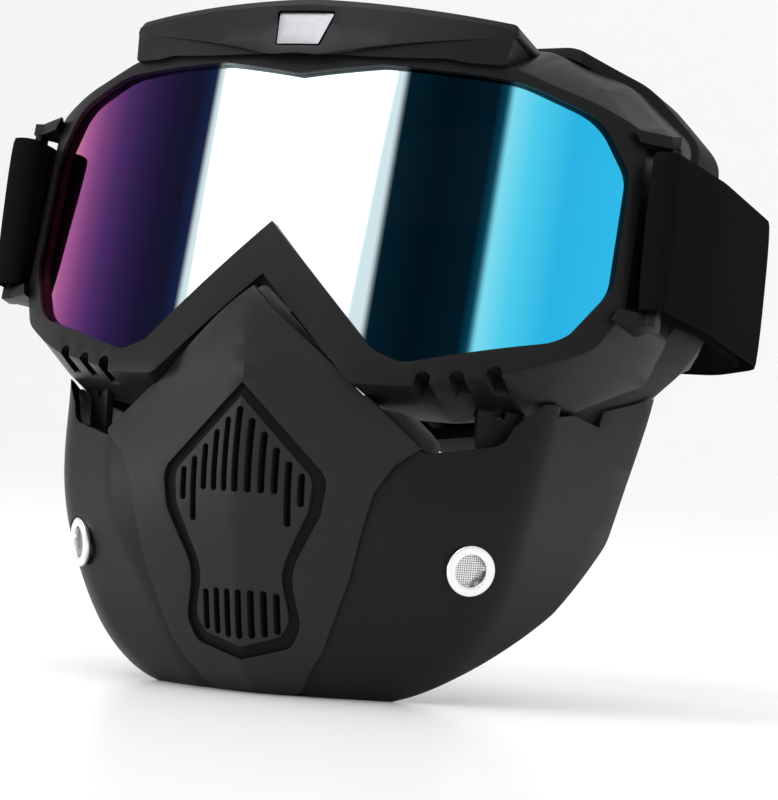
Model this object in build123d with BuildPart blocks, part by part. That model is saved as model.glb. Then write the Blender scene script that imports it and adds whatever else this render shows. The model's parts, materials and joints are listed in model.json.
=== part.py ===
# Riding goggles with a clip-on hard face mask.
# Frame: +X to the wearer's left, -Y forwards, +Z up, millimetres.
# The origin is on the middle plane, where the eye line meets the face seal.
import os
from math import cos, radians, sin

from build123d import *

os.makedirs("parts", exist_ok=True)

# ---- driving dimensions --------------------------------------------------
lens_apex_y = -50.0  # front of the lens on the middle plane
lens_radius = 135.0  # outer face of the cylindrical lens
lens_thickness = 2.0
lens_rake = 15.0  # degrees, top leans back towards the forehead
lip_thickness = 2.0  # frame lip in front of the lens
groove_depth = 3.2
groove_back = 1.8  # rear wall of the lens groove
frame_depth = 20.0  # hard frame behind the lens face
reach = 90.0  # half height of the construction solids
body_gap = 0.6  # clearance between the goggles and the mask

face_radius = 112.0  # curve of the face across the temples
face_apex_y = -6.0
foam_thickness = 11.0
foam_width = 13.0

strap_width = 44.0
strap_thickness = 1.5
strap_drop = 7.5  # degrees, the strap descends towards the back
strap_start = (0, -15.0, -1.5)  # middle of the strap's width at the side bars

shell_wall = 2.4
panel_rise = 1.6
vent_place = (57.8, -40.0, -94.0)  # centre of a round cheek vent
vent_sweep = 44.0  # degrees the vent faces away from straight ahead
vent_radius = 6.9

sides = {"left": 1, "right": -1}

# ---- construction planes -------------------------------------------------
rake_sin, rake_cos = sin(radians(lens_rake)), cos(radians(lens_rake))
lens_origin = (0, lens_apex_y, 0)
front = Plane(lens_origin, x_dir=(1, 0, 0), z_dir=(0, -rake_cos, rake_sin))
level = Plane(lens_origin, x_dir=(1, 0, 0), z_dir=(0, rake_sin, rake_cos))
drop_sin, drop_cos = sin(radians(strap_drop)), cos(radians(strap_drop))
strap_plane = Plane(strap_start, x_dir=(1, 0, 0), z_dir=(0, drop_sin, drop_cos))

# Half outlines run from the brow to the nose on the middle plane.
corner_radii = [12, 12, 12, 9, 8, 10, 12, 7, 4]
# The frame's front crease: X, height, depth behind the lens apex, and how fast the wall
# behind it spreads outwards and upwards with depth.
crease = [
    (0, 46, 0, 0, 0.50), (42, 47.8, 7, 0.10, 0.60), (58, 47.6, 13, 0.16, 0.68),
    (75, 43.5, 23, 0.22, 0.62), (90.8, 36, 34, 0.10, 0.40), (91.4, -15, 34, 0.12, 0.06),
    (86, -27.2, 29, 0.16, 0.05), (66, -40.3, 17, 0.26, -0.16), (45, -46.8, 7.6, 0.22, -0.12),
    (30, -48.1, 3.4, 0.18, -0.14), (0, -19.5, 0, 0, -0.18),
]  # fmt: skip
steep_run = 16.0  # depth behind the crease after which the wall spreads less
late_spread = 0.25


def frame_station(depth):
    """The frame's half outline at a depth behind the lens apex."""
    half = []
    for x, z, crease_depth, spread_x, spread_z in crease:
        run = depth - crease_depth
        if run > steep_run:
            run = steep_run + late_spread * (run - steep_run)
        half.append((x + spread_x * run, z + spread_z * run))
    return half


frame_depths = [-8, 14, 30, 44, 62]
frame_at_back = frame_station(62)
skirt_at_face = [
    (0, 52), (44, 61), (66, 63), (85, 60), (93.5, 48), (93, -2),
    (87, -14), (70, -38), (54, -50), (40, -50), (0, -12),
]  # fmt: skip
cavity_at_front = [
    (0, 41), (40, 41), (54, 36), (68, 27), (84, 20), (84, -14.5),
    (78.5, -25), (60, -34.5), (42, -42.5), (35, -41), (0, -7),
]  # fmt: skip
cavity_at_back = [
    (0, 56), (43, 60), (61, 61), (77, 54), (89.5, 42), (90.3, -12.5),
    (86, -24), (70, -41), (49.5, -47), (38, -48), (0, -12),
]  # fmt: skip
cavity_at_face = [
    (0, 49), (43, 58), (64, 60), (82, 57), (90.5, 46), (90.5, -1),
    (84.5, -12), (68, -35), (53, -46.5), (44, -46), (0, -3),
]  # fmt: skip
depth_front, depth_back, depth_face = 8.0, -62.0, -96.0

opening_half = [
    (0, 38.7), (24, 42.3), (60, 42.3), (80, 36.5), (88, 23), (88, -10),
    (79, -27), (42, -40.5), (34, -38), (0, -4.1),
]  # fmt: skip
opening_radii = [12, 24, 14, 12, 14, 14, 8, 7]


def spread(half, by):
    """A half outline moved outwards by a lens overlap."""
    grown = []
    for x, z in half:
        side = 0 if x == 0 else (by if x > 50 else 0.4 * by)
        grown.append((x + side, z + by if z > 0 else z - by))
    return grown


def between(low, high, share):
    """Points a share of the way from one half outline to another."""
    return [(a + (c - a) * share, b + (d - b) * share) for (a, b), (c, d) in zip(low, high)]


def closed_outline(plane, half, radii):
    """A face from half an outline and its mirror image."""
    with BuildSketch(plane) as sketch:
        with BuildLine():
            FilletPolyline(*half, radius=radii)
            mirror(about=Plane.YZ)
        make_face()
    return sketch.sketch


def lofted(stations, radii):
    """A straight-walled loft through (depth, half outline) stations."""
    with BuildPart() as tool:
        loft([closed_outline(front.offset(d), half, radii) for d, half in stations], ruled=True)
    return tool.part


def prism(half, radii, ahead=20.0, behind=80.0):
    """A half outline and its mirror run straight back from in front of the lens."""
    with BuildPart() as tool:
        with BuildSketch(front.offset(-behind)) as sketch:
            with BuildLine():
                FilletPolyline(*half, radius=radii)
                mirror(about=Plane.YZ)
            make_face()
        extrude(amount=ahead + behind)
    return tool.part


def lens_barrel(radius):
    """Everything within a radius of the axis that the lens curves about."""
    with BuildPart() as tool:
        with BuildSketch(level.offset(-reach)):
            with Locations((0, lens_radius)):
                Circle(radius)
        extrude(amount=2 * reach)
    return tool.part


def face_barrel(radius):
    """The room of the head, and of rings around it."""
    with BuildPart() as tool:
        with BuildSketch(Plane.XY.offset(-reach)):
            with Locations((0, face_apex_y + face_radius)):
                Circle(radius)
        extrude(amount=2 * reach)
    return tool.part


def export_pair(part, name):
    """Write a piece of the left side and its mirror image on the right."""
    for side_name, piece in (("left", part), ("right", mirror(part, about=Plane.YZ))):
        piece.label = f"{name}_{side_name}"
        export_step(piece, f"parts/{name}_{side_name}.step")


# ---- construction solids -------------------------------------------------
# The room behind the lens carries its taper on ahead of the lens, so that it cuts through.
ahead = depth_front / (depth_front - depth_back)
frame_stations = [(-depth, frame_station(depth)) for depth in frame_depths]
cavity_ahead = between(cavity_at_front, cavity_at_back, -ahead)
frame_hull = lofted(frame_stations, corner_radii)
skirt_hull = lofted([(-40, frame_at_back), (depth_face, skirt_at_face)], corner_radii)
eye_room = lofted([(depth_front, cavity_ahead), (depth_back, cavity_at_back)], corner_radii)
skirt_cavity = lofted([(-40, cavity_at_back), (depth_face, cavity_at_face)], corner_radii)
frame_rear = lens_barrel(lens_radius - frame_depth)
behind_lens = lens_barrel(lens_radius - groove_depth - groove_back)
head_room = face_barrel(face_radius)
groove_half = spread(opening_half, 2.4)
lens_half = spread(opening_half, 2.0)


def clipped(solid, inside=(), outside=()):
    """A solid kept within some tools and cleared of others."""
    with BuildPart() as tool:
        add(solid)
        for keeper in inside:
            add(keeper, mode=Mode.INTERSECT)
        for cutter in outside:
            add(cutter, mode=Mode.SUBTRACT)
    return tool.part


def shell_between(half, radii, outer, inner):
    """The part of a prism that lies between two radii of the lens axis."""
    return clipped(
        prism(half, radii),
        inside=[lens_barrel(lens_radius + outer)],
        outside=[lens_barrel(lens_radius + inner)],
    )


# ---- goggle frame --------------------------------------------------------
vent_notches = [(47.3, -41.8), (55.5, -40.2), (64.2, -37.2)]  # top of each notch
notch_width, notch_height, notch_depth = 3.6, 9.0, 8.0
tab_foot = (61.0, -31.5, -72.0)  # lower end of each mask tab
tab_sweep = 42.0  # degrees the tab turns away from straight ahead
tab_width, tab_height, tab_thickness = 13.0, 25.0, 2.0
socket_clearance = 0.5

with BuildPart() as notches:
    with BuildSketch(front.offset(-30)):
        for side in sides.values():
            with Locations(*[(side * x, z - notch_height / 2) for x, z in vent_notches]):
                SlotOverall(notch_height, notch_width, rotation=90 - side * 8)
    extrude(amount=60)

tab_turn = radians(tab_sweep)
tab_across, tab_outward = (cos(tab_turn), sin(tab_turn), 0), (sin(tab_turn), -cos(tab_turn), 0)
tab_plane = Plane(tab_foot, x_dir=tab_across, z_dir=tab_outward)

with BuildPart() as sockets:
    with BuildSketch(tab_plane.offset(-tab_thickness - socket_clearance)):
        with Locations((0, tab_height)):
            Rectangle(tab_width + 2 * socket_clearance, 2 * tab_height)
    extrude(amount=tab_thickness + 2 * socket_clearance)
    mirror(about=Plane.YZ)

with BuildPart() as goggle_frame:
    add(frame_hull)
    add(lens_barrel(lens_radius + lip_thickness), mode=Mode.INTERSECT)
    add(frame_rear, mode=Mode.SUBTRACT)
    add(clipped(eye_room, inside=[behind_lens]), mode=Mode.SUBTRACT)
    add(prism(opening_half, opening_radii), mode=Mode.SUBTRACT)
    add(shell_between(groove_half, opening_radii, 0.0, -groove_depth), mode=Mode.SUBTRACT)
    add(
        clipped(notches.part, outside=[lens_barrel(lens_radius + lip_thickness - notch_depth)]),
        mode=Mode.SUBTRACT,
    )
    add(sockets.part, mode=Mode.SUBTRACT)
goggle_frame.part.label = "goggle_frame"
export_step(goggle_frame.part, "parts/goggle_frame.step")

# ---- lens and its gasket -------------------------------------------------
with BuildPart() as lens:
    add(shell_between(lens_half, opening_radii, -0.1, -0.1 - lens_thickness))
lens.part.label = "lens"
export_step(lens.part, "parts/lens.step")

with BuildPart() as lens_gasket:
    add(shell_between(lens_half, opening_radii, -0.15 - lens_thickness, 0.1 - groove_depth))
    add(prism(spread(opening_half, 0.2), opening_radii), mode=Mode.SUBTRACT)
lens_gasket.part.label = "lens_gasket"
export_step(lens_gasket.part, "parts/lens_gasket.step")

# ---- soft face skirt -----------------------------------------------------
flange_thickness = 2.2
flange_inner = [
    (0, 34), (34, 44), (58, 47), (70, 44), (76, 36), (76, 0),
    (71, -8), (60, -24), (46, -34), (34, -30), (0, 9),
]  # fmt: skip

with BuildPart() as face_skirt:
    add(skirt_hull)
    add(lens_barrel(lens_radius - frame_depth - 0.05), mode=Mode.INTERSECT)
    add(head_room, mode=Mode.SUBTRACT)
    add(clipped(skirt_cavity, outside=[face_barrel(face_radius + flange_thickness)]), mode=Mode.SUBTRACT)
    add(prism(flange_inner, corner_radii, behind=120), mode=Mode.SUBTRACT)
face_skirt.part.label = "face_skirt"
export_step(face_skirt.part, "parts/face_skirt.step")

# ---- face foam -----------------------------------------------------------
foam_outer = spread(skirt_at_face, -2.0)
with BuildPart() as face_foam:
    add(prism(foam_outer, corner_radii, behind=120))
    add(face_barrel(face_radius - 0.05), mode=Mode.INTERSECT)
    add(face_barrel(face_radius - foam_thickness), mode=Mode.SUBTRACT)
    add(prism(spread(flange_inner, -1.0), corner_radii, behind=120), mode=Mode.SUBTRACT)
    split(bisect_by=Plane.XZ.offset(-face_apex_y - 60), keep=Keep.TOP)
face_foam.part.label = "face_foam"
export_step(face_foam.part, "parts/face_foam.step")

# ---- vent foams ----------------------------------------------------------
def vent_strip(low_x, high_x, low_z, high_z):
    """A strip of foam against the inner wall of the frame, behind the vents."""
    with BuildPart() as window:
        with BuildSketch(front.offset(-60)):
            with Locations(((low_x + high_x) / 2, (low_z + high_z) / 2)):
                Rectangle(high_x - low_x, high_z - low_z)
        extrude(amount=80)
    back = lens_barrel(lens_radius - groove_depth - groove_back - 3.0)
    return clipped(window.part, inside=[eye_room, behind_lens], outside=[back])


for name, window in {
    "brow_vent_foam": (-44, 44, 43, 70),
    "lower_vent_foam_left": (44, 70, -60, -36),
    "lower_vent_foam_right": (-70, -44, -60, -36),
}.items():
    with BuildPart() as vent_foam:
        add(vent_strip(*window))
    vent_foam.part.label = name
    export_step(vent_foam.part, f"parts/{name}.step")

# ---- brow visor and its badge plate --------------------------------------
visor_half = [(0, 41.0), (58.5, 53.8), (57.0, 58.0), (0, 60.5)]
visor_depth = 30.0
visor_lean = 8.0  # how far the brow's top edge leans back
visor_foot_half = [(0, 40), (56, 45.5), (57.5, 56), (0, 58)]
badge_recess = 1.0
badge_half = [(0, 45.2), (6.7, 45.2), (8.8, 56.2), (0, 56.2)]
badge_plate_half = [(0, 45.6), (6.2, 45.6), (8.2, 55.8), (0, 55.8)]
badge_stand = 0.25  # the plate stands this far out of the visor


def leaning_cone(extra):
    """Everything behind the brow's front face, which leans back towards the top."""
    with BuildPart() as tool:
        for height, lean in ((36, 0), (66, visor_lean)):
            with BuildSketch(level.offset(height)):
                with Locations((0, lens_radius)):
                    Circle(lens_radius + 8.4 - lean + extra)
        loft(ruled=True)
    return tool.part


badge_floor = leaning_cone(-badge_recess)

with BuildPart() as brow_visor:
    add(prism(visor_half, [1.6, 1.6], behind=visor_depth))
    add(leaning_cone(0), mode=Mode.INTERSECT)
    add(clipped(prism(visor_foot_half, [1, 1], behind=visor_depth), inside=[lens_barrel(lens_radius + 4)]))
    add(Pos(0, 0, 0.08) * frame_hull, mode=Mode.SUBTRACT)
    add(clipped(prism(badge_half, [0.8, 0.8]), outside=[badge_floor]), mode=Mode.SUBTRACT)
brow_visor.part.label = "brow_visor"
export_step(brow_visor.part, "parts/brow_visor.step")

with BuildPart() as badge_plate:
    add(prism(badge_plate_half, [0.5, 0.5]))
    add(leaning_cone(badge_stand), mode=Mode.INTERSECT)
    add(leaning_cone(-badge_recess + 0.05), mode=Mode.SUBTRACT)
badge_plate.part.label = "badge_plate"
export_step(badge_plate.part, "parts/badge_plate.step")

# ---- side bars that the strap loops round --------------------------------
bar_x, bar_depth = 98.5, 36.0  # place of the upright bar, across and behind the lens
bar_width, bar_length, arm_thickness = 2.6, 54.0, 3.4
bar_middle = 8.5  # height of the bar's middle above the lens origin
# Level outline of the arms that carry the bar: across, and depth behind the lens.
arm_outline = [(88, 27), (97.2, 33.2), (99.8, 33.2), (99.8, 38.2), (97.2, 38.2), (88, 46)]

with BuildPart() as side_bar:
    for height in (bar_middle + bar_length / 2 - arm_thickness, bar_middle - bar_length / 2):
        with BuildSketch(level.offset(height)):
            with BuildLine():
                Polyline(*arm_outline, close=True)
            make_face()
        extrude(amount=arm_thickness)
    with BuildSketch(level.offset(bar_middle - bar_length / 2)):
        with Locations((bar_x, bar_depth)):
            RectangleRounded(bar_width, 5.0, 1.2)
    extrude(amount=bar_length)
    add(frame_hull, mode=Mode.SUBTRACT)
export_pair(side_bar.part, "side_bar")

# ---- elastic strap: one ribbon, doubled back through its two sliders ------
strap_half = [
    (0, 99), (84, 99), (101.5, 84), (104.2, 30), (102.0, -6.6), (95.0, -6.6), (95.0, 6),
    (99.6, 30), (97.2, 81), (82, 94.4), (30, 94.4),
]  # fmt: skip
strap_radii = [9, 9, 60, 3.4, 3.4, 20, 40, 7, 7]

with BuildPart() as strap_band:
    with BuildSketch(strap_plane.offset(-strap_width / 2)):
        with BuildLine() as route:
            FilletPolyline(*strap_half, radius=strap_radii)
            mirror(about=Plane.YZ)
        trace(route.edges(), line_width=strap_thickness)
    extrude(amount=strap_width)
strap_band.part.label = "strap_band"
export_step(strap_band.part, "parts/strap_band.step")

# ---- strap sliders -------------------------------------------------------
slider_x, slider_length, slider_rim = 52.0, 11.0, 3.2
slot_height, slot_gap = strap_width + 1.4, 2.5
layer_inner, layer_outer = 94.4, 99.0
slider_low = layer_inner - slot_gap / 2 - 1.4
slider_high = layer_outer + slot_gap / 2 + 1.4

with BuildPart() as strap_slider:
    with BuildSketch(strap_plane.offset(-slot_height / 2 - slider_rim)):
        with Locations((slider_x, (slider_low + slider_high) / 2)):
            RectangleRounded(slider_length, slider_high - slider_low, 1.3)
    extrude(amount=slot_height + 2 * slider_rim)
    with BuildSketch(strap_plane.offset(-slot_height / 2)):
        with Locations((slider_x, layer_inner), (slider_x, layer_outer)):
            Rectangle(2 * slider_length, slot_gap)
    extrude(amount=slot_height, mode=Mode.SUBTRACT)
export_pair(strap_slider.part, "strap_slider")

# ---- silicone grip lines on the inside of the strap ----------------------
grip_length, grip_height, grip_lift = 58.8, 2.0, 0.5
with BuildPart() as strap_grip:
    for row in (-14, -7, 0, 7, 14):
        with BuildSketch(strap_plane.offset(row - grip_height / 2)):
            with Locations((0, layer_outer - strap_thickness / 2 - grip_lift / 2 - 0.01)):
                Rectangle(grip_length, grip_lift)
        extrude(amount=grip_height)
strap_grip.part.label = "strap_grip"
export_step(strap_grip.part, "parts/strap_grip.step")

# ---- hard face mask ------------------------------------------------------
# Level sections of the mask's outer face: height, then ridge, shoulder, cheek and rear points.
mask_sections = [
    (-14, [(0, -52), (40, -46), (74, -26), (84, 44)]),
    (-40, [(0, -63), (46, -51), (74, -30), (84.5, 36)]),
    (-63, [(0, -65.5), (46, -51), (72, -33), (82.5, 34)]),
    (-94, [(0, -61.5), (38, -53.5), (66, -37), (77, 24)]),
    (-108, [(0, -58.5), (30, -52), (60, -37), (72, 12)]),
    (-121, [(0, -54.5), (24, -49), (51, -37), (63, 0)]),
    (-131, [(0, -45), (20, -41.5), (40, -33), (52, -6)]),
    (-141, [(0, -33), (14, -30.5), (26, -26), (36, -10)]),
]  # fmt: skip


def mask_form(grow=0.0):
    """The mask's outer form, or a thinner one."""
    with BuildPart() as form:
        sections = []
        for height, (ridge, shoulder, cheek, rear) in mask_sections:
            half = [
                (0, ridge[1] - grow),
                (shoulder[0] + 0.4 * grow, shoulder[1] - 0.9 * grow),
                (cheek[0] + 0.8 * grow, cheek[1] - 0.6 * grow),
                (rear[0] + grow, rear[1]),
                (0, rear[1]),
            ]
            with BuildSketch(Plane.XY.offset(height)) as section:
                with BuildLine():
                    FilletPolyline(*half, radius=[16, 20, 0.5])
                    mirror(about=Plane.YZ)
                make_face()
            sections.append(section.sketch)
        loft(sections)
    return form.part


mask_outer = mask_form()
mask_inner = mask_form(grow=-shell_wall)

# Front view of what the mask keeps, and side view of its rear rim.
mask_top_half = [
    (0, -24), (47.2, -64), (65, -60.5), (66.5, -55.5), (88, -31), (88, -150), (0, -150),
]  # fmt: skip
rim_profile = [
    (-100, 0), (32, 0), (32, -34), (20, -70), (15, -86), (-4, -106), (-19, -117), (-30, -125.5),
    (-38.5, -137.5), (-39, -150), (-100, -150),
]  # fmt: skip
panel_half = [
    (0, -21.5), (47.2, -62.5), (41, -67.5), (36.5, -75), (30.5, -98), (22.5, -118), (13, -131),
    (0, -131),
]  # fmt: skip
window_half = [
    (0, -47.5), (24.5, -72), (23, -82), (14.5, -98), (17, -112), (14, -118), (0, -122),
]  # fmt: skip


def front_prism(half, radii, low_y=-100.0, high_y=60.0):
    """A front-view half outline and its mirror image, run straight back."""
    with BuildPart() as tool:
        with BuildSketch(Plane.XZ.offset(-high_y)):
            with BuildLine():
                FilletPolyline(*half, radius=radii)
                mirror(about=Plane.YZ)
            make_face()
        extrude(amount=high_y - low_y)
    return tool.part


with BuildPart() as rim_prism:
    with BuildSketch(Plane.YZ.offset(-reach - 20)):
        with BuildLine():
            FilletPolyline(*rim_profile, radius=[0, 2, 14, 12, 20, 14, 20, 8, 0])
            Line((-100, -150), (-100, 0))
        make_face()
    extrude(amount=2 * reach + 40)

mask_edge = front_prism(mask_top_half, [3, 5, 2, 0, 0])
panel_outline = front_prism(panel_half, [1, 3, 6, 20, 14, 6])
window_radii = [6, 6, 14, 6, 4]
window_outline = front_prism(window_half, window_radii)

with BuildPart() as goggle_room:
    add(lofted([(depth, spread(half, body_gap)) for depth, half in frame_stations], corner_radii))
    skirt_room = [(-40, spread(frame_at_back, body_gap)), (depth_face, spread(skirt_at_face, body_gap))]
    add(lofted(skirt_room, corner_radii))

# Round cheek vents: a hole through each wing with a shallow seat for its ring.
turn = radians(vent_sweep)
vent_outward = (sin(turn), -cos(turn), -0.10)
vent_plane = Plane(vent_place, x_dir=(cos(turn), sin(turn), 0), z_dir=vent_outward)
vent_bore = vent_radius - 1.6

with BuildPart() as vent_holes:
    with BuildSketch(vent_plane.offset(-12)):
        Circle(vent_bore)
    extrude(amount=24)
    with BuildSketch(vent_plane.offset(0.6)):
        Circle(vent_radius + 0.15)
    extrude(amount=8)
    mirror(about=Plane.YZ)

with BuildPart() as mask_shell:
    add(mask_outer)
    add(mask_edge, mode=Mode.INTERSECT)
    add(rim_prism.part, mode=Mode.INTERSECT)
    add(mask_inner, mode=Mode.SUBTRACT)
    add(goggle_room.part, mode=Mode.SUBTRACT)
    add(vent_holes.part, mode=Mode.SUBTRACT)
    add(window_outline, mode=Mode.SUBTRACT)
mask_shell.part.label = "mask_shell"
export_step(mask_shell.part, "parts/mask_shell.step")

# ---- raised centre panel -------------------------------------------------
with BuildPart() as centre_panel:
    add(Pos(0, -panel_rise, 0) * mask_outer)
    add(panel_outline, mode=Mode.INTERSECT)
    add(Pos(0, -0.05, 0) * mask_outer, mode=Mode.SUBTRACT)
    add(window_outline, mode=Mode.SUBTRACT)
    add(goggle_room.part, mode=Mode.SUBTRACT)
centre_panel.part.label = "centre_panel"
export_step(centre_panel.part, "parts/centre_panel.step")

# ---- slotted grille in the panel's window --------------------------------
grille_half = [
    (0, -51.3), (20.6, -72.4), (19.6, -81), (11.6, -98), (14, -111), (11, -115.2), (0, -118.6),
]  # fmt: skip
# Top and bottom of each upper slot, from the middle one outwards.
upper_slots = [(-54, -77), (-57, -77), (-60.5, -77), (-64.5, -77), (-68, -85.5), (-71, -80)]
lower_slots = [(-103, -116.5), (-103, -116.2), (-103, -115.6), (-103.5, -114.6)]
slot_width, slot_pitch = 1.9, 3.5

with BuildPart() as grille_insert:
    add(Pos(0, 0.4 - panel_rise, 0) * mask_outer)
    add(front_prism(grille_half, window_radii), mode=Mode.INTERSECT)
    add(mask_inner, mode=Mode.SUBTRACT)
    with BuildSketch(Plane.XZ.offset(90)):
        for rows in (upper_slots, lower_slots):
            for step, (top, bottom) in enumerate(rows):
                x, middle = step * slot_pitch, (top + bottom) / 2
                with Locations(*{(x, middle), (-x, middle)}):
                    SlotOverall(top - bottom, slot_width, rotation=90)
    extrude(amount=-80, mode=Mode.SUBTRACT)
grille_insert.part.label = "grille_insert"
export_step(grille_insert.part, "parts/grille_insert.step")

# ---- textured seal round the grille ---------------------------------------
seal_depth = 1.3  # below the grille's face
with BuildPart() as grille_seal:
    add(Pos(0, 0.4 - panel_rise + seal_depth, 0) * mask_outer)
    add(front_prism(window_half, window_radii, high_y=-20.0), mode=Mode.INTERSECT)
    add(mask_inner, mode=Mode.SUBTRACT)
    add(front_prism(grille_half, window_radii), mode=Mode.SUBTRACT)
grille_seal.part.label = "grille_seal"
export_step(grille_seal.part, "parts/grille_seal.step")

# ---- filter pad and the frame that holds it inside the mask ---------------
filter_half = [(0, -46), (26, -70), (26, -84), (20, -98), (21, -112), (16, -124), (0, -124)]
filter_radii = [4, 6, 8, 8, 6]
filter_thickness, keeper_thickness = 4.0, 2.0
with BuildPart() as filter_pad:
    add(Pos(0, 0.1, 0) * mask_inner)
    add(front_prism(filter_half, filter_radii), mode=Mode.INTERSECT)
    add(Pos(0, 0.1 + filter_thickness, 0) * mask_inner, mode=Mode.SUBTRACT)
filter_pad.part.label = "filter_pad"
export_step(filter_pad.part, "parts/filter_pad.step")

with BuildPart() as filter_keeper:
    add(Pos(0, 0.2 + filter_thickness, 0) * mask_inner)
    add(front_prism(filter_half, filter_radii), mode=Mode.INTERSECT)
    add(Pos(0, 0.2 + filter_thickness + keeper_thickness, 0) * mask_inner, mode=Mode.SUBTRACT)
    with BuildSketch(Plane.XZ.offset(90)):
        for height in (-66, -82, -98, -113):
            with Locations((-8.5, height), (8.5, height)):
                RectangleRounded(12, 11, 2.5)
    extrude(amount=-90, mode=Mode.SUBTRACT)
filter_keeper.part.label = "filter_keeper"
export_step(filter_keeper.part, "parts/filter_keeper.step")

# ---- foam strip along the mask's upper edge, against the nose -------------
nose_foam_half = [(0, -20), (50, -61), (42, -74), (25, -68), (0, -45)]
nose_foam_thickness = 7.0
with BuildPart() as nose_foam:
    add(Pos(0, 0.1, 0) * mask_inner)
    add(front_prism(nose_foam_half, [3, 3, 4]), mode=Mode.INTERSECT)
    add(Pos(0, 0.1 + nose_foam_thickness, 0) * mask_inner, mode=Mode.SUBTRACT)
    add(front_prism(spread(filter_half, 0.4), filter_radii), mode=Mode.SUBTRACT)
    add(goggle_room.part, mode=Mode.SUBTRACT)
nose_foam.part.label = "nose_foam"
export_step(nose_foam.part, "parts/nose_foam.step")

# ---- tabs that hold the mask in the frame's sockets -----------------------
with BuildPart() as mask_tab:
    with BuildSketch(tab_plane.offset(-tab_thickness)):
        with Locations((0, tab_height / 2)):
            RectangleRounded(tab_width, tab_height, 3)
        with Locations((0, tab_height - 5)):
            Circle(1.6, mode=Mode.SUBTRACT)
    extrude(amount=tab_thickness)
    add(Pos(0, 0.1, 0) * mask_inner, mode=Mode.INTERSECT)
export_pair(mask_tab.part, "mask_tab")

# ---- round cheek vents ---------------------------------------------------
with BuildPart() as vent_ring:
    with BuildSketch(vent_plane.offset(0.65)):
        Circle(vent_radius)
        Circle(vent_radius - 2.6, mode=Mode.SUBTRACT)
    extrude(amount=1.8)
    with BuildSketch(vent_plane.offset(-4.4)):
        Circle(vent_bore - 0.1)
        Circle(vent_radius - 2.6, mode=Mode.SUBTRACT)
    extrude(amount=5.2)
export_pair(vent_ring.part, "vent_ring")

with BuildPart() as vent_mesh:
    with BuildSketch(vent_plane.offset(0.2)):
        Circle(vent_radius - 2.65)
    extrude(amount=0.6)
export_pair(vent_mesh.part, "vent_mesh")

with BuildPart() as vent_washer:
    with BuildSketch(vent_plane.offset(-4.4)):
        Circle(vent_radius + 0.6)
        Circle(vent_bore - 0.05, mode=Mode.SUBTRACT)
    extrude(amount=1.4)
    add(Pos(0, 0.1, 0) * mask_inner, mode=Mode.INTERSECT)
export_pair(vent_washer.part, "vent_washer")
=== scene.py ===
import json
import math

import bmesh
import bpy
from mathutils import Matrix, Vector


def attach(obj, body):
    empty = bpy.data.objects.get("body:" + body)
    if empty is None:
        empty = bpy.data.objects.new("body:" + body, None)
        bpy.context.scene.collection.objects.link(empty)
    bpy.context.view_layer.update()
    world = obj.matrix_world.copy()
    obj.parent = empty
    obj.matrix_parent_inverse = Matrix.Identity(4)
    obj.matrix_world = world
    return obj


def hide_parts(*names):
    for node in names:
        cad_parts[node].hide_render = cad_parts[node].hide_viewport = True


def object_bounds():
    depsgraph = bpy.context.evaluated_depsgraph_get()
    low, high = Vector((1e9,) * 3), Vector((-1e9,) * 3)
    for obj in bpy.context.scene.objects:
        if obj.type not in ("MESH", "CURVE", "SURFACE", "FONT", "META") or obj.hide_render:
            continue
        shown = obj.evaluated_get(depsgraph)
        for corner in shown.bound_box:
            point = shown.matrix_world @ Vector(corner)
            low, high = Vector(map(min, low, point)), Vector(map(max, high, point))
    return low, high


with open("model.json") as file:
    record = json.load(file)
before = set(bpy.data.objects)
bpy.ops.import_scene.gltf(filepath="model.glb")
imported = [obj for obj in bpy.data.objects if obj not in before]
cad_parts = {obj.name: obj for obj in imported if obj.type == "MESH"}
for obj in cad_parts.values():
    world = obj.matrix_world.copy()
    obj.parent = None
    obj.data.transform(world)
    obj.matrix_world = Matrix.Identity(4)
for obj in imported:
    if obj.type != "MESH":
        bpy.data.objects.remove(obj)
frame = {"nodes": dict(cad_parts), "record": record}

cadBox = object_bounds()
shown = frame["nodes"]
mm = 0.001
lensApex = Vector((0, -50 * mm, 0))  # front of the lens on the middle plane


# sRGB hex to linear.
def hexColor(code, alpha=1.0):
    channels = [int(code[i:i + 2], 16) / 255 for i in (1, 3, 5)]
    return (*[c / 12.92 if c <= 0.04045 else ((c + 0.055) / 1.055) ** 2.4 for c in channels], alpha)


# One node with its settings; inputs hold values or other nodes' sockets.
def addNode(tree, kind, inputs=None, **settings):
    node = tree.nodes.new(kind)
    for key, value in settings.items():
        setattr(node, key, value)
    for key, value in (inputs or {}).items():
        if isinstance(value, bpy.types.NodeSocket):
            tree.links.new(value, node.inputs[key])
        else:
            node.inputs[key].default_value = value
    return node


# A material with one Principled shader; shader values are its sockets.
def newMaterial(name, **shader):
    material = bpy.data.materials.new(name)
    material.use_nodes = True
    bsdf = material.node_tree.nodes["Principled BSDF"]
    for key, value in shader.items():
        bsdf.inputs[key.replace("_", " ")].default_value = value
    return material, material.node_tree, bsdf


def objectCoords(tree):
    return addNode(tree, "ShaderNodeTexCoord").outputs["Object"]


# Colour ramp stops as (place, hex colour).
def setRamp(ramp, stops):
    elements = ramp.color_ramp.elements
    while len(elements) > len(stops):
        elements.remove(elements[-1])
    while len(elements) < len(stops):
        elements.new(1.0)
    for element, (place, code) in zip(elements, stops):
        element.position = place
        element.color = hexColor(code)


def meshObject(name, mesh):
    piece = bpy.data.objects.new(name, mesh)
    bpy.context.scene.collection.objects.link(piece)
    return piece


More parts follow.
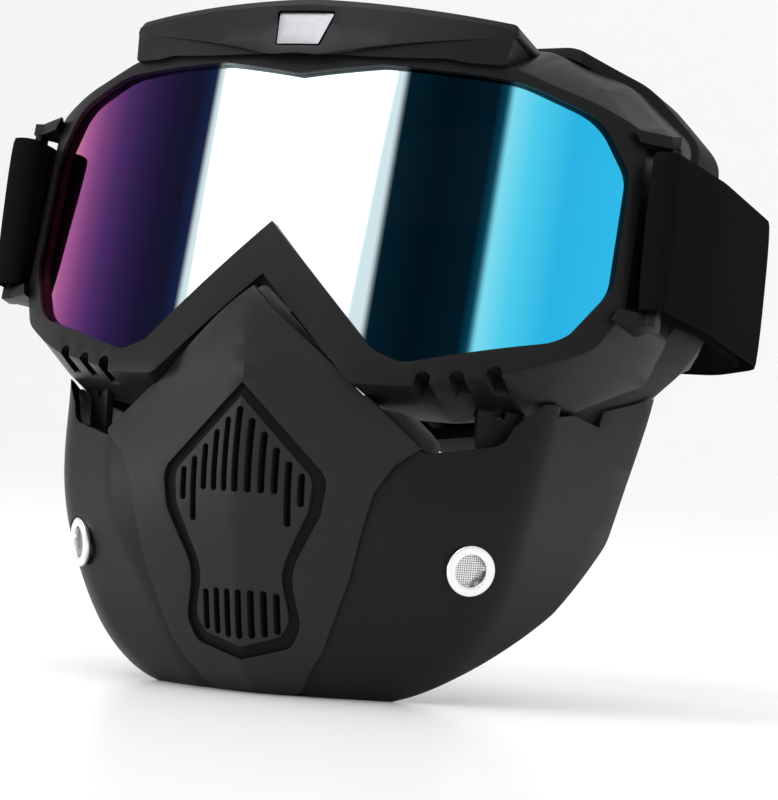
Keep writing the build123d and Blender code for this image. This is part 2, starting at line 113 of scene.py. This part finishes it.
# A merged copy of a CAD node's mesh, as a piece of its own.
def copyNode(node, name, weld=0.01 * mm):
    mesh = shown[node].data.copy()
    mesh.name = name
    bm = bmesh.new()
    bm.from_mesh(mesh)
    bmesh.ops.remove_doubles(bm, verts=bm.verts, dist=weld)
    bmesh.ops.dissolve_degenerate(bm, edges=bm.edges, dist=weld)
    bm.to_mesh(mesh)
    bm.free()
    mesh.materials.clear()
    return meshObject(name, mesh)


# Turn a piece with modifiers into a plain mesh.
def applyModifiers(piece):
    graph = bpy.context.evaluated_depsgraph_get()
    mesh = bpy.data.meshes.new_from_object(piece.evaluated_get(graph))
    piece.modifiers.clear()
    piece.data = mesh
    return piece


# Smooth faces, with edges sharper than an angle kept crisp.
def smoothByAngle(mesh, angle):
    bm = bmesh.new()
    bm.from_mesh(mesh)
    limit = math.radians(angle)
    for edge in bm.edges:
        edge.smooth = edge.calc_face_angle(0.0) < limit
    for face in bm.faces:
        face.smooth = True
    bm.to_mesh(mesh)
    bm.free()


# Mixes two colours by one pattern and raises the surface by another.
def tintAndRelief(tree, bsdf, colors, shade, height, strength, depth):
    mix = {"Fac": shade, "Color1": hexColor(colors[0]), "Color2": hexColor(colors[1])}
    tint = addNode(tree, "ShaderNodeMixRGB", mix)
    relief = addNode(tree, "ShaderNodeBump", {"Height": height, "Strength": strength, "Distance": depth})
    tree.links.new(tint.outputs["Color"], bsdf.inputs["Base Color"])
    tree.links.new(relief.outputs["Normal"], bsdf.inputs["Normal"])


# Satin moulded polycarbonate blend: fine spark-eroded grain with soft broad highlights.
def makeMouldedPlastic(name, base, rough, grain=0.35 * mm, bump=0.10):
    material, tree, bsdf = newMaterial(name, IOR=1.5, Specular_IOR_Level=0.16)
    coords = objectCoords(tree)
    fine = addNode(tree, "ShaderNodeTexNoise", {"Vector": coords, "Scale": 1 / grain, "Detail": 2.0})
    broad = addNode(tree, "ShaderNodeTexNoise", {"Vector": coords, "Scale": 45.0, "Detail": 4.0})
    shadeRange = {"Value": broad.outputs["Fac"], "To Min": rough[0], "To Max": rough[1]}
    shade = addNode(tree, "ShaderNodeMapRange", shadeRange)
    tree.links.new(shade.outputs["Result"], bsdf.inputs["Roughness"])
    tintAndRelief(tree, bsdf, base, broad.outputs["Fac"], fine.outputs["Fac"], bump, 0.04 * mm)
    return material


# Polycarbonate with a revo mirror coat: colour bands run across, from rose through violet to cyan. The pale
# band in the middle is a painted reflection of the front softbox, and the dark navy and teal beside it are
# the coat's hues darkened into painted reflections of dark surroundings.
def makeMirrorLens():
    lens = {"halfWidth": 92.0, "coatAndPaintedReflectionBands": [
        (-92, "#14040a"), (-89, "#6a2c40"), (-86, "#d88a96"), (-82, "#cc7096"), (-76, "#a84494"),
        (-68, "#742478"), (-60, "#461866"), (-50, "#26104a"), (-40, "#160e32"), (-32, "#11132e"),
        # -25.5 to 29 mm: painted white reflection of the front softbox; 30.5 to 54 mm: painted dark
        # reflection in the coat's teal.
        (-27, "#18244a"), (-25.5, "#dcf0f5"), (0, "#e6f7fa"), (29, "#dcf2f8"), (30.5, "#04202c"),
        (42, "#02131c"), (54, "#031c28"), (56.5, "#0a4860"), (58, "#86e8ff"), (64, "#52d8fa"),
        (74, "#2cbef2"), (87, "#34c6f8"), (91, "#0c5070")]}
    material, tree, bsdf = newMaterial("mirrorCoatedPolycarbonate", Metallic=1.0, Roughness=0.04, Alpha=0.97)
    coords = objectCoords(tree)
    split = addNode(tree, "ShaderNodeSeparateXYZ", {"Vector": coords})
    width = lens["halfWidth"] * mm
    across = {"Value": split.outputs["X"], "From Min": -width, "From Max": width}
    share = addNode(tree, "ShaderNodeMapRange", across)
    ramp = addNode(tree, "ShaderNodeValToRGB", {"Fac": share.outputs["Result"]})
    setRamp(ramp, [((x / lens["halfWidth"] + 1) / 2, code) for x, code in lens["coatAndPaintedReflectionBands"]])
    tree.links.new(ramp.outputs["Color"], bsdf.inputs["Base Color"])
    return material


# Open-cell foam or fleece-faced foam: soft, pitted, no highlight.
def makeFoam(name, base, cell, bump, sheen=0.3):
    material, tree, bsdf = newMaterial(name, Roughness=0.95, Specular_IOR_Level=0.15,
                                       Sheen_Weight=sheen, Sheen_Roughness=0.6)
    coords = objectCoords(tree)
    cells = addNode(tree, "ShaderNodeTexVoronoi", {"Vector": coords, "Scale": 1 / cell})
    fluff = addNode(tree, "ShaderNodeTexNoise", {"Vector": coords, "Scale": 2.2 / cell, "Detail": 5.0})
    pits = addNode(tree, "ShaderNodeMath", {0: cells.outputs["Distance"], 1: fluff.outputs["Fac"]},
                   operation="MULTIPLY").outputs["Value"]
    tintAndRelief(tree, bsdf, base, pits, pits, bump, 0.3 * mm)
    return material


# Knitted elastic webbing: ribs along the strap, cross picks 1.1 mm apart, drawn a little coarse.
def makeElasticWebbing():
    weave = {"pitch": 1.1 * mm, "dark": "#060606", "light": "#161617"}
    material, tree, bsdf = newMaterial("wovenElastic", Roughness=0.95, Specular_IOR_Level=0.02)
    uv = addNode(tree, "ShaderNodeUVMap", uv_map="weave")
    split = addNode(tree, "ShaderNodeSeparateXYZ", {"Vector": uv.outputs["UV"]})
    waves = []
    for axis, pitch in (("X", weave["pitch"]), ("Y", 0.8 * weave["pitch"])):
        turn = addNode(tree, "ShaderNodeMath", {0: split.outputs[axis], 1: 2 * math.pi / pitch},
                       operation="MULTIPLY")
        wave = addNode(tree, "ShaderNodeMath", {0: turn.outputs["Value"]}, operation="SINE")
        waves.append(wave.outputs["Value"])
    knit = addNode(tree, "ShaderNodeMath", {0: waves[0], 1: waves[1]}, operation="MULTIPLY")
    wholeWave = {"Value": knit.outputs["Value"], "From Min": -1.0, "From Max": 1.0}
    level = addNode(tree, "ShaderNodeMapRange", wholeWave).outputs["Result"]
    tintAndRelief(tree, bsdf, (weave["dark"], weave["light"]), level, level, 0.5, 0.2 * mm)
    return material


# Rolled and lacquered aluminium: fine lines and a soft bright sheen.
def makeBrushedAluminium(name, color, rough, line):
    material, tree, bsdf = newMaterial(name, Metallic=1.0)
    coords = objectCoords(tree)
    stretch = addNode(tree, "ShaderNodeMapping", {"Vector": coords, "Scale": (1.0, 12.0, 12.0)})
    streaks = {"Vector": stretch.outputs["Vector"], "Scale": 0.1 / line, "Detail": 3.0}
    lines = addNode(tree, "ShaderNodeTexNoise", streaks).outputs["Fac"]
    shadeRange = {"Value": lines, "To Min": rough - 0.06, "To Max": rough + 0.08}
    shade = addNode(tree, "ShaderNodeMapRange", shadeRange)
    tree.links.new(shade.outputs["Result"], bsdf.inputs["Roughness"])
    tintAndRelief(tree, bsdf, color, lines, lines, 0.08, 0.02 * mm)
    return material


framePlastic = makeMouldedPlastic("satinMouldedFrame", ("#0d0d0e", "#121213"), (0.36, 0.46))
maskPlastic = makeMouldedPlastic("satinMouldedMask", ("#0d0d0e", "#111112"), (0.38, 0.48))
# The centre panel takes a lighter copy of the mask plastic: its extra lightness is painted light, standing
# in for the front light falling on the panel.
panelPlasticPaintedLighter = makeMouldedPlastic("satinMouldedPanelPaintedLighter", ("#1a1a1b", "#202021"), (0.40, 0.52))
grillePlastic = makeMouldedPlastic("satinMouldedGrille", ("#1c1c1d", "#232325"), (0.46, 0.56))
sealRubber = makeMouldedPlastic("texturedSealRubber", ("#050506", "#121214"), (0.75, 0.9),
                                grain=0.9 * mm, bump=0.8)
skirtRubber = makeMouldedPlastic("softSkirtRubber", ("#0a0a0b", "#101011"), (0.6, 0.72),
                                 grain=0.5 * mm, bump=0.15)
siliconeRubber = makeMouldedPlastic("siliconeLines", ("#141415", "#1a1a1b"), (0.3, 0.4))
mirrorLens = makeMirrorLens()
faceFleece = makeFoam("fleeceFacedFoam", ("#0c0c0d", "#232325"), 0.9 * mm, 0.5)
filterFoam = makeFoam("openCellFoam", ("#060607", "#1c1c1e"), 1.3 * mm, 0.9, sheen=0.0)
elasticWebbing = makeElasticWebbing()
badgeAluminium = makeBrushedAluminium("satinAluminiumBadge", ("#6e6f72", "#9c9da1"), 0.34, 0.2 * mm)
ventAluminium = makeBrushedAluminium("polishedVentAluminium", ("#dfe0e2", "#f0f0f2"), 0.18, 0.1 * mm)
wireSteel = makeBrushedAluminium("drawnSteelWire", ("#8c8d8f", "#a4a5a7"), 0.3, 0.1 * mm)
print("materials made")


# Hard parts: merged copies of the CAD with their edges broken
hardParts = {  # material, and the radius in mm that breaks its edges
    "goggle_frame": (framePlastic, 0.55),
    "brow_visor": (framePlastic, 0.6),
    "side_bar_left": (framePlastic, 0.3),
    "side_bar_right": (framePlastic, 0.3),
    "mask_shell": (maskPlastic, 0.45),
    "centre_panel": (panelPlasticPaintedLighter, 0.5),
    "grille_insert": (grillePlastic, 0.22),
    "grille_seal": (sealRubber, 0.0),
    "filter_keeper": (grillePlastic, 0.25),
    "mask_tab_left": (maskPlastic, 0.3),
    "mask_tab_right": (maskPlastic, 0.3),
    "strap_slider_left": (framePlastic, 0.35),
    "strap_slider_right": (framePlastic, 0.35),
    "badge_plate": (badgeAluminium, 0.25),
    "vent_ring_left": (ventAluminium, 0.4),
    "vent_ring_right": (ventAluminium, 0.4),
    "vent_washer_left": (maskPlastic, 0.2),
    "vent_washer_right": (maskPlastic, 0.2),
    "lens": (mirrorLens, 0.0),
    # The gasket is a black rubber ring in the lens groove; its black is partly painted shade, standing for
    # the shadow in that groove.
    "lens_gasket": (skirtRubber, 0.0),
    "face_skirt": (skirtRubber, 0.5),
    "strap_grip": (siliconeRubber, 0.15),
}
bodies = frame["record"]["behaviour"]["bodies"]
bodyOf = {node: body for body, nodes in bodies.items() for node in nodes}


# A copy of a CAD node with broken edges, which stands for it.
def finishNode(node, material, edge):
    piece = copyNode(node, node + "_finished")
    piece.data.materials.append(material)
    if edge:
        bevel = piece.modifiers.new("brokenEdges", "BEVEL")
        bevel.width = edge * mm
        bevel.segments = 3
        bevel.limit_method = "ANGLE"
        bevel.angle_limit = math.radians(34)
        applyModifiers(piece)
    smoothByAngle(piece.data, 30)
    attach(piece, bodyOf[node])
    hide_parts(node)
    return piece


for node, (material, edge) in hardParts.items():
    finishNode(node, material, edge)
print("hard parts finished:", len(hardParts))


# Foam
foamParts = {
    "face_foam": {"material": faceFleece, "voxel": 2.6, "cap": 1.6, "pressure": 3.0, "fill": 0.6},
    "nose_foam": {"material": faceFleece, "voxel": 1.6, "cap": 0.8, "pressure": 3.0, "fill": 0.5},
}
clothSteps = 14


# Foam swollen by cloth pressure, held near its moulded shape.
def puffFoam(node, soft):
    piece = copyNode(node, node + "_soft")
    piece.data.materials.append(soft["material"])
    remesh = piece.modifiers.new("remesh", "REMESH")
    remesh.mode = "VOXEL"
    remesh.voxel_size = soft["voxel"] * mm
    applyModifiers(piece)
    start = [v.co.copy() for v in piece.data.vertices]
    cloth = piece.modifiers.new("cloth", "CLOTH")
    cloth.settings.use_pressure = True
    cloth.settings.uniform_pressure_force = soft["pressure"]
    cloth.settings.quality = 5
    cloth.settings.effector_weights.gravity = 0
    cloth.point_cache.frame_start, cloth.point_cache.frame_end = 1, clothSteps
    for step in range(1, clothSteps + 1):
        bpy.context.scene.frame_set(step)
    applyModifiers(piece)
    bpy.context.scene.frame_set(1)
    for vertex, home in zip(piece.data.vertices, start):
        move = vertex.co - home
        if move.length > soft["cap"] * mm:
            vertex.co = home + move.normalized() * soft["cap"] * mm
    smooth = piece.modifiers.new("relax", "SMOOTH")
    smooth.iterations = 14
    smooth.factor = 0.5
    finer = piece.modifiers.new("finer", "SUBSURF")
    finer.levels = finer.render_levels = 1
    applyModifiers(piece)
    piece.data.materials.clear()
    piece.data.materials.append(soft["material"])
    for face in piece.data.polygons:
        face.use_smooth = True
    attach(piece, bodyOf[node])
    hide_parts(node)
    return piece


for node, soft in foamParts.items():
    puffFoam(node, soft)
print("foam puffed")

stiffFoams = ["filter_pad", "brow_vent_foam", "lower_vent_foam_left", "lower_vent_foam_right"]
for node in stiffFoams:
    piece = finishNode(node, filterFoam, 0.3)


# Elastic strap
strap = {
    "width": 44.0, "thickness": 1.5, "drop": 7.5, "start": (0, -15.0, -1.5), "step": 3.2,
    "half": [(0, 99), (84, 99), (101.5, 84), (104.2, 30), (102.0, -6.6), (95.0, -6.6), (95.0, 6),
             (99.6, 30), (97.2, 81), (82, 94.4), (30, 94.4)],
    "radii": [12, 12, 60, 3.4, 3.4, 20, 40, 9, 9],
    "edge": 0.55,  # share of the thickness left at the ribbon's edges
}


# Runs joined by arcs, as evenly spaced points.
def roundedRoute(points, radii):
    route = [Vector((*points[0], 0))]
    for before, corner, after, radius in zip(points, points[1:], points[2:], radii):
        a, b, c = (Vector((*p, 0)) for p in (before, corner, after))
        into, out = (b - a).normalized(), (c - b).normalized()
        turn = into.angle(out)
        trim = radius * math.tan(turn / 2)
        first, last = b - into * trim, b + out * trim
        side = 1 if into.cross(out).z > 0 else -1
        centre = first + Vector((-into.y, into.x, 0)) * radius * side
        count = max(2, int(turn / math.radians(9)))
        for i in range(count + 1):
            spin = Matrix.Rotation(side * turn * i / count, 3, "Z")
            route.append(centre + spin @ (first - centre))
    route.append(Vector((*points[-1], 0)))
    even = [route[0]]
    for a, b in zip(route, route[1:]):
        count = max(1, int((b - a).length / strap["step"]))
        even += [a.lerp(b, (i + 1) / count) for i in range(count)]
    return even


# One ribbon, swept along its route and back round the side bars.
def makeStrap():
    half = roundedRoute(strap["half"], strap["radii"])
    route = [Vector((-p.x, p.y, 0)) for p in reversed(half[1:])] + half
    drop = math.radians(strap["drop"])
    up = Vector((0, math.sin(drop), math.cos(drop)))
    back = Vector((0, math.cos(drop), -math.sin(drop)))
    start = Vector(strap["start"])
    columns = (-1, -0.5, 0, 0.5, 1)
    across = [(u, -1) for u in columns] + [(u, 1) for u in reversed(columns)]
    bm = bmesh.new()
    weave = bm.loops.layers.uv.new("weave")
    rings, runs, run = [], [], 0.0
    for i, p in enumerate(route):
        ahead, behind = route[min(i + 1, len(route) - 1)], route[max(i - 1, 0)]
        along = (ahead - behind).normalized()
        normal = Vector((along.y, -along.x, 0))
        if i:
            run += (p - route[i - 1]).length
        ring = []
        for u, v in across:
            depth = v * strap["thickness"] / 2 * (1 if abs(u) < 1 else strap["edge"])
            flat = p + normal * depth
            world = start + Vector((flat.x, 0, 0)) + back * flat.y + up * (u * strap["width"] / 2)
            ring.append(bm.verts.new(world * mm))
        rings.append(ring)
        runs.append(run * mm)
    count = len(across)
    for i in range(len(rings) - 1):
        for j in range(count):
            k = (j + 1) % count
            face = bm.faces.new((rings[i][j], rings[i][k], rings[i + 1][k], rings[i + 1][j]))
            near, far = across[j][0], across[k][0]
            places = [(runs[i], near), (runs[i], far), (runs[i + 1], far), (runs[i + 1], near)]
            for loop, (length, u) in zip(face.loops, places):
                loop[weave].uv = (length, u * strap["width"] / 2 * mm)
    for ring in (rings[0], rings[-1]):
        bm.faces.new(ring)
    bmesh.ops.recalc_face_normals(bm, faces=bm.faces)
    mesh = bpy.data.meshes.new("elasticStrap")
    bm.to_mesh(mesh)
    bm.free()
    piece = meshObject("elasticStrap", mesh)
    mesh.materials.append(elasticWebbing)
    finer = piece.modifiers.new("finer", "SUBSURF")
    finer.levels = finer.render_levels = 1
    applyModifiers(piece)
    smoothByAngle(piece.data, 50)
    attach(piece, "goggles")
    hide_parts("strap_band")


makeStrap()
print("strap made")


# Cheek vent meshes: woven wire by Geometry Nodes
wireCloth = {"Radius": 4.3 * mm, "Pitch": 0.62 * mm, "Wire": 0.11 * mm}  # the tree's inputs
wireSides = 5
cheekVent = {"place": Vector((57.8, -40.0, -94.0)), "sweep": math.radians(44), "tip": -0.10, "proud": 0.7}


# Two crossed rows of wires, cut to a disc.
def makeWireTree():
    tree = bpy.data.node_groups.new("wireCloth", "GeometryNodeTree")
    tree.interface.new_socket("Geometry", in_out="OUTPUT", socket_type="NodeSocketGeometry")
    for name in wireCloth:
        tree.interface.new_socket(name, in_out="INPUT", socket_type="NodeSocketFloat")

    def math2(operation, first, second):
        return addNode(tree, "ShaderNodeMath", {0: first, 1: second}, operation=operation).outputs["Value"]

    groupIn = addNode(tree, "NodeGroupInput")
    radius, pitch, wire = (groupIn.outputs[name] for name in wireCloth)
    count = int(2 * wireCloth["Radius"] / wireCloth["Pitch"])
    join = addNode(tree, "GeometryNodeJoinGeometry")
    ring = {"Resolution": wireSides, "Radius": wire}
    profile = addNode(tree, "GeometryNodeCurvePrimitiveCircle", ring).outputs["Curve"]
    for turn, side in ((0.0, -1), (math.pi / 2, 1)):
        line = addNode(tree, "GeometryNodeMeshLine", {"Count": count, "Offset": (0.0, 0.0, 0.0)})
        index = addNode(tree, "GeometryNodeInputIndex").outputs["Index"]
        place = math2("MULTIPLY", math2("SUBTRACT", index, (count - 1) / 2), pitch)
        spot = addNode(tree, "ShaderNodeCombineXYZ", {"X": place}).outputs["Vector"]
        spread = {"Geometry": line.outputs["Mesh"], "Position": spot}
        points = addNode(tree, "GeometryNodeSetPosition", spread).outputs["Geometry"]
        chord = math2("SUBTRACT", math2("POWER", radius, 2.0), math2("POWER", place, 2.0))
        half = math2("POWER", chord, 0.5)
        ends = {"Start": (0.0, -1.0, 0.0), "End": (0.0, 1.0, 0.0)}
        unit = addNode(tree, "GeometryNodeCurvePrimitiveLine", ends).outputs["Curve"]
        stretch = addNode(tree, "ShaderNodeCombineXYZ", {"X": 1.0, "Y": half, "Z": 1.0}).outputs["Vector"]
        cut = {"Points": points, "Instance": unit, "Scale": stretch}
        rows = addNode(tree, "GeometryNodeInstanceOnPoints", cut).outputs["Instances"]
        real = addNode(tree, "GeometryNodeRealizeInstances", {"Geometry": rows}).outputs["Geometry"]
        sweep = {"Curve": real, "Profile Curve": profile, "Fill Caps": True}
        tube = addNode(tree, "GeometryNodeCurveToMesh", sweep).outputs["Mesh"]
        lift = (0.0, 0.0, side * wireCloth["Wire"])
        lay = {"Geometry": tube, "Translation": lift, "Rotation": (0.0, 0.0, turn)}
        turned = addNode(tree, "GeometryNodeTransform", lay)
        tree.links.new(turned.outputs["Geometry"], join.inputs["Geometry"])
    realized = addNode(tree, "GeometryNodeRealizeInstances", {"Geometry": join.outputs["Geometry"]})
    coated = {"Geometry": realized.outputs["Geometry"], "Material": wireSteel}
    finish = addNode(tree, "GeometryNodeSetMaterial", coated)
    groupOut = addNode(tree, "NodeGroupOutput")
    tree.links.new(finish.outputs["Geometry"], groupOut.inputs["Geometry"])
    return tree


# The place of a cheek vent, whose Z points out of the cheek.
def ventMatrix(side):
    sweep, place = cheekVent["sweep"], cheekVent["place"]
    outward = Vector((side * math.sin(sweep), -math.cos(sweep), cheekVent["tip"])).normalized()
    across = Vector((math.cos(sweep), side * math.sin(sweep), 0)).normalized()
    upward = outward.cross(across)
    middle = (Vector((side * place.x, place.y, place.z)) + outward * cheekVent["proud"]) * mm
    return Matrix.Translation(middle) @ Matrix((across, upward, outward)).transposed().to_4x4()


wireTree = makeWireTree()
for sideName, side in (("left", 1), ("right", -1)):
    holder = meshObject("wireHolder_" + sideName, bpy.data.meshes.new("wireHolder_" + sideName))
    weaver = holder.modifiers.new("wireCloth", "NODES")
    weaver.node_group = wireTree
    for socket in wireTree.interface.items_tree:
        if socket.in_out == "INPUT":
            weaver[socket.identifier] = wireCloth[socket.name]
    applyModifiers(holder)
    holder.name = "vent_wire_" + sideName
    holder.data.transform(ventMatrix(side))
    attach(holder, "mask")
    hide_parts("vent_mesh_" + sideName)
print("vent wire woven")


# Floor, lights, camera
sweepShape = {
    "halfWidth": 4.0, "gap": 0.001,  # the floor lies just under the mask
    "profile": [(-3.0, 0.0), (1.6, 0.0), (2.2, 0.1), (2.6, 0.4), (2.8, 0.9), (2.85, 3.5)],
}
lowest = cadBox[0][2]


# A pale floor that curves up into a backdrop.
def makeStage():
    bm = bmesh.new()
    width, drop = sweepShape["halfWidth"], lowest - sweepShape["gap"]
    rows = [[bm.verts.new((x, y, z + drop)) for x in (-width, width)] for y, z in sweepShape["profile"]]
    for a, b in zip(rows, rows[1:]):
        bm.faces.new((a[0], a[1], b[1], b[0]))
    mesh = bpy.data.meshes.new("studioSweep")
    bm.to_mesh(mesh)
    bm.free()
    sweep = meshObject("studioSweep", mesh)
    finer = sweep.modifiers.new("finer", "SUBSURF")
    finer.levels = finer.render_levels = 3
    for face in mesh.polygons:
        face.use_smooth = True
    paper, tree, bsdf = newMaterial("whitePaperSweep", Roughness=0.3, Specular_IOR_Level=0.5)
    grain = addNode(tree, "ShaderNodeTexNoise", {"Vector": objectCoords(tree), "Scale": 300.0})
    whites = {"Fac": grain.outputs["Fac"], "Color1": hexColor("#fafafa"), "Color2": hexColor("#ffffff")}
    tint = addNode(tree, "ShaderNodeMixRGB", whites)
    tree.links.new(tint.outputs["Color"], bsdf.inputs["Base Color"])
    mesh.materials.append(paper)
    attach(sweep, "mask")  # the floor stays under the mask when the goggles are lifted off it


def addSoftbox(name, place, target, width, height, power):
    light = bpy.data.lights.new(name, "AREA")
    light.shape = "RECTANGLE"
    light.size, light.size_y = width, height
    light.energy = power
    box = bpy.data.objects.new(name, light)
    box.location = place
    box.rotation_euler = (Vector(target) - Vector(place)).to_track_quat("-Z", "Y").to_euler()
    bpy.context.scene.collection.objects.link(box)


makeStage()
softboxes = {  # direction from the lens, distance, width, height, power
    "frontSoftbox": ((-0.412, -0.749, 0.519), 1.25, 1.06, 1.3, 3.8),
    "overheadSoftbox": ((-0.25, -0.2, 1.0), 1.3, 1.4, 0.9, 10.0),
    "lowLeftSoftbox": ((-0.85, -0.5, -0.02), 1.2, 0.35, 0.4, 4.0),
}
for name, (direction, distance, width, height, power) in softboxes.items():
    place = lensApex + Vector(direction).normalized() * distance
    addSoftbox(name, place, lensApex, width, height, power)

world = bpy.data.worlds.new("paleStudio")
bpy.context.scene.world = world
world.use_nodes = True
background = world.node_tree.nodes["Background"]
background.inputs["Color"].default_value = hexColor("#ffffff")
background.inputs["Strength"].default_value = 0.9

view = {
    "place": (0.40258, -0.88927, -0.06257), "azimuth": 23.58, "elevation": -0.78, "roll": 3.46,
    "lens": 154.8, "sensor": 36.0,
}
camera = bpy.data.cameras.new("camera")
camera.lens = view["lens"]
camera.sensor_width = view["sensor"]
cameraObject = bpy.data.objects.new("camera", camera)
bpy.context.scene.collection.objects.link(cameraObject)
azimuth, elevation, roll = (math.radians(view[key]) for key in ("azimuth", "elevation", "roll"))
right = Vector((math.cos(azimuth), math.sin(azimuth), 0))
level = math.cos(elevation)
forward = Vector((-math.sin(azimuth) * level, math.cos(azimuth) * level, -math.sin(elevation)))
upward = right.cross(forward)
tiltedRight = right * math.cos(roll) + upward * math.sin(roll)
tiltedUp = upward * math.cos(roll) - right * math.sin(roll)
turn = Matrix((tiltedRight, tiltedUp, -forward)).transposed().to_4x4()
cameraObject.matrix_world = Matrix.Translation(Vector(view["place"])) @ turn
bpy.context.scene.camera = cameraObject
bpy.context.scene.view_settings.view_transform = "Standard"
print("stage, lights and camera set")
